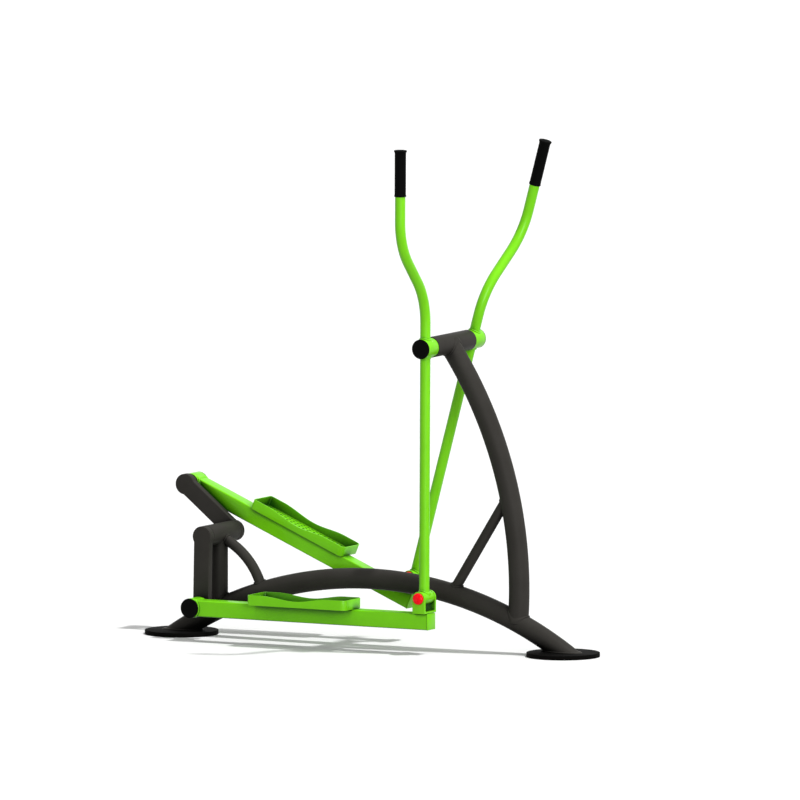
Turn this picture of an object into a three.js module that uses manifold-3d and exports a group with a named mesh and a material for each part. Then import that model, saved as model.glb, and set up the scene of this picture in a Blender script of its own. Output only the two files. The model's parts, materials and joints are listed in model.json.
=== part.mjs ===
// Outdoor air walker: two pedal beams that swing from long levers in front and ride on a crank behind.
// Lengths are in millimetres. +X is the way the user faces, +Y is the user's left, +Z is up.
// The origin lies on the ground, midway between the two base plates.

import * as THREE from "three";
import { mergeVertices } from "three/addons/utils/BufferGeometryUtils.js";
import Module from "manifold-3d";

const wasm = await Module();
wasm.setup();

// Tube stock
const frameTube = 76;
const frameWall = 3;
const slimTube = 38;
const slimWall = 2.5;

// Clearances
const weldGap = 0.3;
const fitGap = 0.3;
const runGap = 0.5;
const overrun = 12;
const mergeDistance = 0.0005;

// Base plates and main arch
const footSpread = 795;
const plateDiameter = 270;
const plateThickness = 16;
const plateEdge = 2;
const archRadius = 1500;

// Crossbar, column and strut
const hubX = 319;
const hubZ = 1125.5;
const columnRadius = 1500;
const columnUprightZ = 235;
const strutFootX = 332;
const strutHeadZ = 584;

// Crank
const crankX = -641;
const crankZ = 377;
const crankRadius = 255;
const crankBoss = 76;
const crankBarWidth = 64;
const crankThickness = 28;
const housingHalf = 101.5;
const postTube = 69;
const braceRadius = 272;
const braceFootX = -458;
const braceHeadDrop = 10;
const shaftSeat = 20;
const rightCrankTurn = 269;
const leftCrankTurn = 141;

// Bearings, shafts and caps
const shaftDiameter = 30;
const bearingOuter = 62;
const bearingWidth = 16;
const bearingInset = 4;
const capThickness = 4;
const capPlug = 5;
const capEdge = 1;

// Levers
const leverLength = 917.5;
const sleeveLength = 76;
const hubSleeve = 72.5;
const axlePlug = 20;
const handleTop = 744;
const bendStart = 92;
const bendRadius = 230;
const bendTurn = 43;
const splay = 196;
const gripWall = 1.6;
const gripLength = 171;
const gripFlange = 48;
const gripFlangeHeight = 5;
const gripLip = 44.5;
const gripLipHeight = 4;
const gripTopThickness = 4;

// Lever foot and its bolt
const bossDiameter = 49;
const bushDiameter = 26;
const boltDiameter = 16;
const boltHead = 24;
const boltHeadHeight = 7;
const redCap = 42;
const redCapHeight = 13;
const redCapRim = 3;
const redCapWall = 4.5;
const redCapCrown = 2.5;

// Pedal beams
const beamSection = 60;
const beamWall = 3;
const beamLength = 990;
const rearSleeve = 72;
const boltAhead = 960;
const boltRise = 86;
const endPlateThickness = 4;
const collarDiameter = 56;
const collarLength = 12;
const bushInset = 3;

// Clevis
const clevisWidth = 90;
const clevisPlate = 10;
const clevisBase = 8;
const clevisEar = 51;

// Footplate tray
const trayStart = 268;
const trayLength = 407;
const trayWidth = 133.5;
const trayShift = 18.25;
const trayWall = 3;
const trayFloor = 3;
const trayRearHeight = 37;
const trayDipHeight = 23;
const trayFrontHeight = 37;
const trayFrontCorner = 20;
const trayRearCorner = 8;
const trayDipShare = 0.49;
const trayRearCrestShare = 0.14;
const trayFrontCrestShare = 0.82;

// Facet counts
const plateSides = 40;
const largeSides = 24;
const boreSides = 20;
const slimSides = 16;
const smallSides = 16;
const innerSides = 12;
const hexSides = 6;
const archSteps = 22;
const columnSteps = 11;
const braceSteps = 8;
const bendSteps = 6;
const cornerSteps = 4;
const waveSteps = 7;
const domeSteps = 4;

// From the middle outwards: bearing housing, crank arm, pin collar, then the sleeves of beam and lever
const armInner = housingHalf + runGap;
const armOuter = armInner + crankThickness;
const sleeveInner = armOuter + collarLength;
const leverPlane = sleeveInner + sleeveLength / 2;
const sleeveOuter = sleeveInner + sleeveLength;
const sleeveEnd = sleeveOuter - capThickness;
const crossbarHalf = sleeveInner - runGap;
const bearingBore = bearingOuter + 2 * fitGap;

// The two sides: name, direction along Y, and where the crank arm points, from +X towards +Z
const sides = [["right", -1, rightCrankTurn], ["left", 1, leftCrankTurn]];

// Colours and finishes
const greenPaint = new THREE.MeshStandardMaterial({ color: 0x62c41e, roughness: 0.4, metalness: 0 });
const charcoalPaint = new THREE.MeshStandardMaterial({ color: 0x34312e, roughness: 0.45, metalness: 0.1 });
const redPlastic = new THREE.MeshStandardMaterial({ color: 0xf01020, roughness: 0.3, metalness: 0 });
const blackRubber = new THREE.MeshStandardMaterial({ color: 0x1c1c1c, roughness: 0.7, metalness: 0 });
const blackPlastic = new THREE.MeshStandardMaterial({ color: 0x141414, roughness: 0.5, metalness: 0 });
const brightSteel = new THREE.MeshStandardMaterial({ color: 0xb8bcc0, roughness: 0.3, metalness: 1 });
const bronze = new THREE.MeshStandardMaterial({ color: 0xb07c3c, roughness: 0.45, metalness: 1 });

// A closed geometry becomes a solid that can be cut and joined
function solid(geometry) {
  geometry.deleteAttribute("normal");
  geometry.deleteAttribute("uv");
  const merged = mergeVertices(geometry, mergeDistance);
  const corners = merged.index.array;
  const kept = [];
  for (let i = 0; i < corners.length; i += 3) {
    const [a, b, c] = [corners[i], corners[i + 1], corners[i + 2]];
    if (a !== b && b !== c && c !== a) kept.push(a, b, c);
  }
  return new wasm.Manifold(new wasm.Mesh({
    numProp: 3,
    vertProperties: merged.attributes.position.array,
    triVerts: new Uint32Array(kept),
  }));
}

// A finished solid becomes a named mesh
function piece(name, shape, material) {
  const { vertProperties, triVerts } = shape.getMesh();
  const geometry = new THREE.BufferGeometry();
  geometry.setAttribute("position", new THREE.BufferAttribute(new Float32Array(vertProperties), 3));
  geometry.setIndex(new THREE.BufferAttribute(new Uint32Array(triVerts), 1));
  geometry.computeVertexNormals();
  const mesh = new THREE.Mesh(geometry, material);
  mesh.name = name;
  return mesh;
}

// A tube route: places in order, each with its direction of travel
class Route extends THREE.Curve {
  constructor(stations) {
    super();
    this.stations = stations;
  }
  station(share) {
    return this.stations[Math.round(share * (this.stations.length - 1))];
  }
  getPoint(share) {
    return this.station(share).place.clone();
  }
  getPointAt(share) {
    return this.getPoint(share);
  }
  getTangentAt(share) {
    return this.station(share).heading.clone();
  }
}

// A straight run between two places
function straightRun(from, to) {
  const heading = to.clone().sub(from).normalize();
  return [{ place: from, heading }, { place: to, heading }];
}

// An arc in the upright lengthwise plane, its angles measured from +X towards +Z
function arcRun(centreX, centreZ, radius, fromAngle, toAngle, steps) {
  const sense = Math.sign(toAngle - fromAngle);
  return Array.from({ length: steps + 1 }, (_, i) => {
    const angle = fromAngle + (toAngle - fromAngle) * (i / steps);
    return {
      place: new THREE.Vector3(centreX + radius * Math.cos(angle), 0, centreZ + radius * Math.sin(angle)),
      heading: new THREE.Vector3(-sense * Math.sin(angle), 0, sense * Math.cos(angle)),
    };
  });
}

// A solid round bar along a route
function bar(stations, diameter, sides) {
  const rim = Array.from({ length: sides }, (_, i) => {
    const angle = (2 * Math.PI * i) / sides;
    return new THREE.Vector2(Math.cos(angle), Math.sin(angle)).multiplyScalar(diameter / 2);
  });
  return solid(new THREE.ExtrudeGeometry(new THREE.Shape(rim), {
    steps: stations.length - 1,
    bevelEnabled: false,
    extrudePath: new Route(stations),
  }));
}

// A round tube along a route, open at both ends
function tube(stations, diameter, wall, sides) {
  return bar(stations, diameter, sides).subtract(bar(stations, diameter - 2 * wall, innerSides));
}

// A body turned about the Y axis: its profile lists [radius, place along Y] and is closed
function turned(profile, sides) {
  const points = profile.map(([radius, along]) => new THREE.Vector2(radius, along));
  const ring = THREE.ShapeUtils.area(points) > 0 ? points : points.reverse();
  const onAxis = profile.some(([radius]) => radius === 0);
  if (onAxis) {
    const start = ring.findIndex((p, i) => p.x === 0 && ring[(i + ring.length - 1) % ring.length].x === 0);
    return solid(new THREE.LatheGeometry([...ring.slice(start), ...ring.slice(0, start)], sides));
  }
  return solid(new THREE.LatheGeometry([...ring, ring[0].clone()], sides));
}

// A rod about the Y axis between two places
function rod(diameter, from, to, sides) {
  return turned([[0, from], [diameter / 2, from], [diameter / 2, to], [0, to]], sides);
}

// A plain ring about the Y axis between two places
function ring(outer, inner, from, to, sides) {
  return turned([[inner / 2, from], [outer / 2, from], [outer / 2, to], [inner / 2, to]], sides);
}

// A block given by its lowest and highest corners
function block(low, high) {
  const size = high.map((value, i) => value - low[i]);
  const centre = high.map((value, i) => (value + low[i]) / 2);
  return solid(new THREE.BoxGeometry(...size).translate(...centre));
}

// An outline drawn in X and Z, as thick as the stretch of Y from one place to the other
function slab(shape, from, to) {
  const [low, high] = [Math.min(from, to), Math.max(from, to)];
  const options = { depth: high - low, bevelEnabled: false, curveSegments: boreSides / 2 };
  const geometry = new THREE.ExtrudeGeometry(shape, options);
  return solid(geometry.rotateX(Math.PI / 2).translate(0, high, 0));
}

// Where two circles about [x, z] centres meet, on the right of the way from the first centre to the second
function meeting(first, firstRadius, second, secondRadius) {
  const way = [second[0] - first[0], second[1] - first[1]];
  const span = Math.hypot(...way);
  const along = (firstRadius ** 2 - secondRadius ** 2 + span ** 2) / (2 * span);
  const off = Math.sqrt(firstRadius ** 2 - along ** 2);
  return {
    x: first[0] + (way[0] * along + way[1] * off) / span,
    z: first[1] + (way[1] * along - way[0] * off) / span,
  };
}

// The arch passes over the origin and comes down on the middle of each base plate
const archCentreZ = plateThickness - Math.sqrt(archRadius ** 2 - footSpread ** 2);
const archZ = (x) => archCentreZ + Math.sqrt(archRadius ** 2 - x ** 2);

// The column leans back from its upright stretch to the crossbar
const columnCentreX = hubX - Math.sqrt(columnRadius ** 2 - (hubZ - columnUprightZ) ** 2);
const columnX = (z) => columnCentreX + Math.sqrt(columnRadius ** 2 - (z - columnUprightZ) ** 2);

const onArch = (x) => new THREE.Vector3(x, 0, archZ(x));
const degrees = THREE.MathUtils.degToRad;

// Diameter of the cutter that shapes a tube's end to another tube: its flats clear that tube by the weld gap
const coped = (diameter) => (diameter + 2 * weldGap) / Math.cos(Math.PI / largeSides);

// The arch runs a little past its plates, and is cut off level with their upper faces
function archRoute() {
  const toPlate = Math.acos((plateThickness - archCentreZ) / (archRadius + frameTube / 2));
  const half = toPlate + overrun / archRadius;
  return arcRun(0, archCentreZ, archRadius, Math.PI / 2 + half, Math.PI / 2 - half, archSteps);
}

const archCutter = bar(archRoute(), coped(frameTube), largeSides);

function mainArch() {
  const whole = tube(archRoute(), frameTube, frameWall, largeSides);
  const ground = block(
    [-footSpread - plateDiameter, -frameTube, plateThickness - plateDiameter],
    [footSpread + plateDiameter, frameTube, plateThickness + weldGap],
  );
  return whole.subtract(ground);
}

function basePlate(x) {
  const radius = plateDiameter / 2;
  const disc = [
    [0, 0], [radius, 0], [radius, plateThickness - plateEdge],
    [radius - plateEdge, plateThickness], [0, plateThickness],
  ];
  const upright = turned(disc, plateSides);
  return upright.rotate([90, 0, 0]).translate([x, 0, 0]);
}

// The column rises from the middle line of the arch to the middle of the crossbar
function columnRoute() {
  const foot = meeting([0, archCentreZ], archRadius, [columnCentreX, columnUprightZ], columnRadius);
  const footAngle = Math.atan2(foot.z - columnUprightZ, foot.x - columnCentreX);
  const headAngle = Math.atan2(hubZ - columnUprightZ, hubX - columnCentreX);
  return arcRun(columnCentreX, columnUprightZ, columnRadius, footAngle, headAngle, columnSteps);
}

const crossbarCutter = rod(coped(frameTube), -leverPlane, leverPlane, largeSides)
  .translate([hubX, 0, hubZ]);
const housingCutter = rod(coped(frameTube), -housingHalf, housingHalf, largeSides)
  .translate([crankX, 0, crankZ]);

function frontColumn() {
  return tube(columnRoute(), frameTube, frameWall, largeSides).subtract(archCutter).subtract(crossbarCutter);
}

function columnStrut() {
  const head = new THREE.Vector3(columnX(strutHeadZ), 0, strutHeadZ);
  const columnCutter = bar(columnRoute(), coped(frameTube), largeSides);
  const whole = tube(straightRun(onArch(strutFootX), head), slimTube, slimWall, slimSides);
  return whole.subtract(archCutter).subtract(columnCutter);
}

function crankPost() {
  const axis = new THREE.Vector3(crankX, 0, crankZ);
  return tube(straightRun(onArch(crankX), axis), postTube, frameWall, largeSides)
    .subtract(archCutter).subtract(housingCutter);
}

// The brace leaves the bearing housing forwards and curves down to the arch
function curvedBrace() {
  const head = new THREE.Vector3(crankX, 0, crankZ - braceHeadDrop);
  const foot = onArch(braceFootX);
  const chord = foot.clone().sub(head);
  const reach = Math.sqrt(braceRadius ** 2 - chord.lengthSq() / 4);
  const inward = new THREE.Vector3(chord.z, 0, -chord.x).normalize();
  const centre = head.clone().add(foot).multiplyScalar(1 / 2).addScaledVector(inward, reach);
  const angleOf = (place) => Math.atan2(place.z - centre.z, place.x - centre.x);
  const route = arcRun(centre.x, centre.z, braceRadius, angleOf(head), angleOf(foot), braceSteps);
  const postCutter = bar(
    straightRun(onArch(crankX), new THREE.Vector3(crankX, 0, crankZ)), coped(postTube), largeSides,
  );
  return tube(route, slimTube, slimWall, slimSides)
    .subtract(archCutter).subtract(housingCutter).subtract(postCutter);
}

// A sealed ball bearing, taken as one ring
function bearing(from) {
  return ring(bearingOuter, shaftDiameter + 2 * fitGap, from, from + bearingWidth, boreSides);
}

// A cap over the end of a sleeve: a disc as wide as the sleeve, and a plug that fills its bore
function endCap(side, diameter) {
  const [face, disc, plug] = [diameter / 2, sleeveOuter, bearingOuter / 2];
  return turned([
    [0, side * (sleeveEnd - capPlug)], [plug, side * (sleeveEnd - capPlug)],
    [plug, side * (sleeveEnd + fitGap)], [face, side * (sleeveEnd + fitGap)],
    [face, side * (disc - capEdge)], [face - capEdge, side * disc], [0, side * disc],
  ], largeSides);
}

// Fixed frame with its pivot axle and crank bearings
function frame() {
  const group = new THREE.Group();
  const crossbar = ring(frameTube, frameTube - 2 * frameWall, -crossbarHalf, crossbarHalf, largeSides);
  const housing = ring(frameTube, bearingBore, -housingHalf, housingHalf, largeSides);
  const axleEnd = sleeveEnd - capPlug - runGap;
  const axle = rod(shaftDiameter, -axleEnd, axleEnd, boreSides);
  group.add(
    piece("main_arch_tube", mainArch(), charcoalPaint),
    piece("rear_base_plate", basePlate(-footSpread), charcoalPaint),
    piece("front_base_plate", basePlate(footSpread), charcoalPaint),
    piece("front_column_tube", frontColumn(), charcoalPaint),
    piece("column_strut", columnStrut(), charcoalPaint),
    piece("crank_post", crankPost(), charcoalPaint),
    piece("curved_brace", curvedBrace(), charcoalPaint),
    piece("crossbar_tube", crossbar.translate([hubX, 0, hubZ]), charcoalPaint),
    piece("crank_bearing_housing", housing.translate([crankX, 0, crankZ]), charcoalPaint),
    piece("pivot_axle", axle.translate([hubX, 0, hubZ]), brightSteel),
  );
  for (const [name, side] of sides) {
    const plugOuter = frameTube - 2 * frameWall - 2 * fitGap;
    const plugInner = shaftDiameter + 2 * fitGap;
    const plug = ring(plugOuter, plugInner, side * crossbarHalf, side * (crossbarHalf - axlePlug), boreSides);
    const bearingFrom = side > 0 ? housingHalf - bearingInset - bearingWidth : bearingInset - housingHalf;
    group.add(
      piece(`${name}_axle_plug`, plug.translate([hubX, 0, hubZ]), charcoalPaint),
      piece(`${name}_crank_bearing`, bearing(bearingFrom).translate([crankX, 0, crankZ]), brightSteel),
    );
  }
  return group;
}

// One crank arm: a bar between two round bosses, bored on its inner face for the shaft
function crankArm(side) {
  const [half, radius] = [crankBarWidth / 2, crankBoss / 2];
  const bend = Math.asin(half / radius);
  const outline = new THREE.Shape();
  outline.absarc(0, 0, radius, bend, 2 * Math.PI - bend, false);
  outline.absarc(crankRadius, 0, radius, bend - Math.PI, Math.PI - bend, false);
  const seat = armInner + shaftSeat + fitGap;
  const bore = rod(shaftDiameter + 2 * fitGap, side * (armInner - overrun), side * seat, boreSides);
  return slab(outline, side * armInner, side * armOuter).subtract(bore);
}

function crankset() {
  const group = new THREE.Group();
  group.position.set(crankX, 0, crankZ);
  const shaftEnd = armInner + shaftSeat;
  group.add(piece("crank_shaft", rod(shaftDiameter, -shaftEnd, shaftEnd, boreSides), brightSteel));
  for (const [name, side, turn] of sides) {
    const arm = piece(`${name}_crank_arm`, crankArm(side), charcoalPaint);
    arm.rotation.y = -degrees(turn);
    group.add(arm);
  }
  return group;
}

// Where a side's crank pin stands, and how far its lever and beam are turned to meet it
function linkage(turn) {
  const pinX = crankX + crankRadius * Math.cos(degrees(turn));
  const pinZ = crankZ + crankRadius * Math.sin(degrees(turn));
  const bolt = meeting([pinX, pinZ], Math.hypot(boltAhead, boltRise), [hubX, hubZ], leverLength);
  const leverTurn = Math.atan2(hubX - bolt.x, hubZ - bolt.z);
  const beamTurn = Math.atan2(boltRise, boltAhead) - Math.atan2(bolt.z - pinZ, bolt.x - pinX);
  return { pinX, pinZ, boltX: bolt.x, boltZ: bolt.z, leverTurn, beamTurn };
}

// The handle rises from the hub, bends outwards and straightens again
function handleRoute(side) {
  const turn = degrees(bendTurn);
  const slant = (splay - 2 * bendRadius * (1 - Math.cos(turn))) / Math.sin(turn);
  const y = (out) => side * (leverPlane + out);
  const at = (out, z, lean) => ({
    place: new THREE.Vector3(0, y(out), z),
    heading: new THREE.Vector3(0, side * Math.sin(lean), Math.cos(lean)),
  });
  const route = [at(0, 0, 0)];
  for (let i = 0; i <= bendSteps; i += 1) {
    const lean = (turn * i) / bendSteps;
    route.push(at(bendRadius * (1 - Math.cos(lean)), bendStart + bendRadius * Math.sin(lean), lean));
  }
  const bendEnd = bendStart + 2 * bendRadius * Math.sin(turn) + slant * Math.cos(turn);
  for (let i = bendSteps; i >= 0; i -= 1) {
    const lean = (turn * i) / bendSteps;
    route.push(at(splay - bendRadius * (1 - Math.cos(lean)), bendEnd - bendRadius * Math.sin(lean), lean));
  }
  route.push(at(splay, handleTop, 0));
  return route;
}

// A grip closed at the top, with a flange there and a lip at its lower end
function grip(side) {
  const [bore, outer] = [slimTube / 2 + fitGap, slimTube / 2 + fitGap + gripWall];
  const top = handleTop + fitGap + gripTopThickness;
  const bottom = top - gripLength;
  const profile = [
    [bore, bottom], [gripLip / 2, bottom],
    [gripLip / 2, bottom + gripLipHeight], [outer, bottom + 2 * gripLipHeight],
    [outer, top - 2 * gripFlangeHeight], [gripFlange / 2, top - gripFlangeHeight],
    [gripFlange / 2, top - capEdge], [gripFlange / 2 - capEdge, top], [0, top],
    [0, top - gripTopThickness], [bore, top - gripTopThickness],
  ];
  return turned(profile, slimSides).rotate([90, 0, 0]).translate([0, side * (leverPlane + splay), 0]);
}

// One swinging lever, drawn about the hub axis
function lever(name, side, turn) {
  const group = new THREE.Group();
  group.position.set(hubX, 0, hubZ);
  group.rotation.y = linkage(turn).leverTurn;
  const sleeveCutter = rod(coped(hubSleeve), side * sleeveInner, side * sleeveEnd, largeSides);
  const bossHalf = clevisWidth / 2 - clevisPlate - runGap;
  const across = (from, to, outer, inner, count) =>
    ring(outer, inner, side * (leverPlane + from), side * (leverPlane + to), count);
  const bossCutter = rod(
    coped(bossDiameter), side * (leverPlane - bossHalf), side * (leverPlane + bossHalf), largeSides,
  ).translate([0, 0, -leverLength]);
  const lowerRoute = straightRun(
    new THREE.Vector3(0, side * leverPlane, -leverLength), new THREE.Vector3(0, side * leverPlane, 0),
  );
  const lower = tube(lowerRoute, slimTube, slimWall, slimSides).subtract(sleeveCutter).subtract(bossCutter);
  const handle = tube(handleRoute(side), slimTube, slimWall, slimSides).subtract(sleeveCutter);
  const sleeve = ring(hubSleeve, bearingBore, side * sleeveInner, side * sleeveEnd, largeSides);
  const boss = across(-bossHalf, bossHalf, bossDiameter, bushDiameter + 2 * fitGap, slimSides);
  const bush = across(-bossHalf, bossHalf, bushDiameter, boltDiameter + 2 * fitGap, smallSides);
  const bearingNear = (distance) => bearing(side > 0 ? distance : -distance - bearingWidth);
  group.add(
    piece(`${name}_hub_sleeve`, sleeve, greenPaint),
    piece(`${name}_lower_lever_tube`, lower, greenPaint),
    piece(`${name}_handle_tube`, handle, greenPaint),
    piece(`${name}_hand_grip`, grip(side), blackRubber),
    piece(`${name}_lever_boss`, boss.translate([0, 0, -leverLength]), greenPaint),
    piece(`${name}_boss_bush`, bush.translate([0, 0, -leverLength]), bronze),
    piece(`${name}_inner_hub_bearing`, bearingNear(sleeveInner + bearingInset), brightSteel),
    piece(`${name}_outer_hub_bearing`,
      bearingNear(sleeveEnd - capPlug - fitGap - bearingWidth), brightSteel),
    piece(`${name}_hub_cap`, endCap(side, hubSleeve), blackPlastic),
  );
  return group;
}

// A domed cap over a bolt head or nut, hollow underneath, standing on the ear's outer face
function domedCap(side) {
  const radius = redCap / 2;
  const dome = Array.from({ length: domeSteps + 1 }, (_, i) => {
    const rise = (Math.PI / 2) * (i / domeSteps);
    return [radius * Math.cos(rise), redCapRim + (redCapHeight - redCapRim) * Math.sin(rise)];
  });
  dome[domeSteps][0] = 0;
  const profile = [
    [0, redCapHeight - redCapCrown], [radius - redCapWall, redCapHeight - redCapCrown],
    [radius - redCapWall, 0], [radius, 0], ...dome,
  ];
  return turned(profile.map(([r, along]) => [r, side * along]), smallSides);
}

// The bolt through the clevis and the lever's boss, with its nut and two red caps
function boltSet(name, side, turn) {
  const { boltX, boltZ, beamTurn } = linkage(turn);
  const group = new THREE.Group();
  group.position.set(boltX, 0, boltZ);
  group.rotation.y = beamTurn;
  const outerFace = leverPlane + clevisWidth / 2 + fitGap;
  const innerFace = leverPlane - clevisWidth / 2 - fitGap;
  const head = rod(boltHead, side * outerFace, side * (outerFace + boltHeadHeight), hexSides);
  const shank = rod(boltDiameter, side * (innerFace - boltHeadHeight), side * outerFace, smallSides);
  const nutEnd = side * (innerFace - boltHeadHeight);
  const nut = ring(boltHead, boltDiameter + 2 * fitGap, side * innerFace, nutEnd, smallSides);
  const flats = rod(boltHead, side * innerFace, nutEnd, hexSides);
  group.add(
    piece(`${name}_lever_bolt`, head.add(shank), brightSteel),
    piece(`${name}_lever_nut`, nut.intersect(flats), brightSteel),
    piece(`${name}_outer_red_cap`, domedCap(side).translate([0, side * outerFace, 0]), redPlastic),
    piece(`${name}_inner_red_cap`, domedCap(-side).translate([0, side * innerFace, 0]), redPlastic),
  );
  return group;
}

// A U-shaped bracket: base on the beam, and two ears with round tops about the bolt
function clevis(side) {
  const half = clevisEar / 2;
  const base = beamSection / 2 + weldGap;
  const outline = new THREE.Shape();
  outline.moveTo(boltAhead - half, base);
  outline.lineTo(boltAhead + half, base);
  outline.absarc(boltAhead, boltRise, half, 0, Math.PI, false);
  const between = clevisWidth / 2 - clevisPlate;
  const slot = block(
    [boltAhead - clevisEar, side * leverPlane - between, base + clevisBase],
    [boltAhead + clevisEar, side * leverPlane + between, boltRise + clevisEar],
  );
  const [inner, outer] = [side * leverPlane - clevisWidth / 2, side * leverPlane + clevisWidth / 2];
  const hole = rod(boltDiameter + 2 * fitGap, inner - overrun, outer + overrun, smallSides);
  return slab(outline, inner, outer).subtract(slot).subtract(hole.translate([boltAhead, 0, boltRise]));
}

// A plan outline of the tray, its corners rounded, drawn in from the outside by an inset
function trayPlan(centreY, inset) {
  const [x0, x1] = [trayStart + inset, trayStart + trayLength - inset];
  const [y0, y1] = [centreY - trayWidth / 2 + inset, centreY + trayWidth / 2 - inset];
  const [front, rear] = [trayFrontCorner - inset, trayRearCorner - inset];
  const plan = new THREE.Shape();
  plan.absarc(x1 - front, y0 + front, front, -Math.PI / 2, 0, false);
  plan.absarc(x1 - front, y1 - front, front, 0, Math.PI / 2, false);
  plan.absarc(x0 + rear, y1 - rear, rear, Math.PI / 2, Math.PI, false);
  plan.absarc(x0 + rear, y0 + rear, rear, Math.PI, (3 * Math.PI) / 2, false);
  return plan;
}

// Height of the tray's side walls along its length, high at the heel and toe and low between
function trayWave(share) {
  const ease = (s) => (1 - Math.cos(Math.PI * THREE.MathUtils.clamp(s, 0, 1))) / 2;
  const fall = ease((share - trayRearCrestShare) / (trayDipShare - trayRearCrestShare));
  const rise = ease((share - trayDipShare) / (trayFrontCrestShare - trayDipShare));
  return trayRearHeight + (trayDipHeight - trayRearHeight) * fall + (trayFrontHeight - trayDipHeight) * rise;
}

// A footplate with a floor and four thin walls, whose top edge waves along both sides
function footplateTray(side) {
  const floor = beamSection / 2 + weldGap;
  const centreY = side * (leverPlane + trayShift);
  const upright = (plan, from, height) => solid(new THREE.ExtrudeGeometry(plan, {
    depth: height, bevelEnabled: false, curveSegments: cornerSteps,
  }).translate(0, 0, from));
  const wave = new THREE.Shape();
  const ceiling = floor + trayRearHeight + overrun;
  const shares = [0, ...Array.from({ length: 2 * waveSteps + 1 }, (_, i) =>
    trayRearCrestShare + ((trayFrontCrestShare - trayRearCrestShare) * i) / (2 * waveSteps)), 1];
  wave.moveTo(trayStart + trayLength + overrun, ceiling);
  wave.lineTo(trayStart - overrun, ceiling);
  wave.lineTo(trayStart - overrun, floor + trayRearHeight);
  for (const share of shares) wave.lineTo(trayStart + share * trayLength, floor + trayWave(share));
  wave.lineTo(trayStart + trayLength + overrun, floor + trayFrontHeight);
  const waveCutter = slab(wave, centreY - trayWidth, centreY + trayWidth);
  return upright(trayPlan(centreY, 0), floor, trayRearHeight)
    .subtract(upright(trayPlan(centreY, trayWall), floor + trayFloor, trayRearHeight))
    .subtract(waveCutter);
}

// One pedal beam, drawn about its crank pin, with the beam running forwards
function pedalBeam(name, side, turn) {
  const { pinX, pinZ, beamTurn } = linkage(turn);
  const group = new THREE.Group();
  group.position.set(pinX, 0, pinZ);
  group.rotation.y = beamTurn;
  const half = beamSection / 2;
  const y = side * leverPlane;
  const tubeEnd = beamLength - endPlateThickness - weldGap;
  const sleeve = ring(rearSleeve, bearingBore, side * sleeveInner, side * sleeveEnd, largeSides);
  const sleeveCutter = rod(coped(rearSleeve), side * sleeveInner, side * sleeveOuter, largeSides);
  const hollow = half - beamWall;
  const beam = block([0, y - half, -half], [tubeEnd, y + half, half])
    .subtract(block([-overrun, y - hollow, -hollow], [beamLength, y + hollow, hollow]))
    .subtract(sleeveCutter);
  const endPlate = block([beamLength - endPlateThickness, y - half, -half], [beamLength, y + half, half]);
  const pinEnd = sleeveEnd - capPlug - runGap;
  const collarFrom = armOuter + fitGap;
  const pin = turned([
    [0, side * collarFrom], [collarDiameter / 2, side * collarFrom],
    [collarDiameter / 2, side * (sleeveInner - fitGap)], [shaftDiameter / 2, side * (sleeveInner - fitGap)],
    [shaftDiameter / 2, side * pinEnd], [0, side * pinEnd],
  ], boreSides);
  const bushFrom = side * (sleeveInner + bushInset);
  const bushTo = side * (sleeveEnd - capPlug - fitGap);
  const bush = ring(bearingOuter, shaftDiameter + 2 * fitGap, bushFrom, bushTo, boreSides);
  group.add(
    piece(`${name}_beam_tube`, beam, greenPaint),
    piece(`${name}_beam_end_plate`, endPlate, greenPaint),
    piece(`${name}_rear_sleeve`, sleeve, greenPaint),
    piece(`${name}_clevis_bracket`, clevis(side), greenPaint),
    piece(`${name}_footplate_tray`, footplateTray(side), greenPaint),
    piece(`${name}_crank_pin`, pin, brightSteel),
    piece(`${name}_pin_bush`, bush, bronze),
    piece(`${name}_pin_cap`, endCap(side, rearSleeve), blackPlastic),
  );
  return group;
}

const walker = new THREE.Group();
walker.add(frame(), crankset());
for (const [name, side, turn] of sides) {
  walker.add(lever(name, side, turn), boltSet(name, side, turn), pedalBeam(name, side, turn));
}

export default walker;
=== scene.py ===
# Outdoor air walker: the finished looks, modelled round its working frame. Lengths are in metres.

import json
import math

import bpy
from mathutils import Matrix, Vector


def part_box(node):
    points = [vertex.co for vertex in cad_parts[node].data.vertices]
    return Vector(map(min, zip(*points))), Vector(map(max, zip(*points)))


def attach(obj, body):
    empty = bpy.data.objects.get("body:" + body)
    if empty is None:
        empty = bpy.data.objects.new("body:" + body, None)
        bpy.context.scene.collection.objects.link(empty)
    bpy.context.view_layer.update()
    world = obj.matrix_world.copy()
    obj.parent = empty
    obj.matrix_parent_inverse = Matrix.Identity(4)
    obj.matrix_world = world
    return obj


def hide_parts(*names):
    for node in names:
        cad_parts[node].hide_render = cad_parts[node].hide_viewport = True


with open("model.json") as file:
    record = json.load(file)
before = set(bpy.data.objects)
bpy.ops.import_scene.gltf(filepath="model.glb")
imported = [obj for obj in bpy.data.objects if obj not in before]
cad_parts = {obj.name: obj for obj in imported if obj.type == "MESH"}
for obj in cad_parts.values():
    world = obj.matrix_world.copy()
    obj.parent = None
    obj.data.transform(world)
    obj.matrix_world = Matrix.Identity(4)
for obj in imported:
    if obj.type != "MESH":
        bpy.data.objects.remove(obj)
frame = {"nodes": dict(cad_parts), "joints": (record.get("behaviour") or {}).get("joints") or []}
bpy.ops.object.select_all(action="DESELECT")
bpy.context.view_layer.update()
scene = bpy.context.scene

# Tube stock
FRAME_TUBE = 0.076
FRAME_WALL = 0.003
SLIM_TUBE = 0.038
SLIM_WALL = 0.0025
POST_TUBE = 0.069

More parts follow.
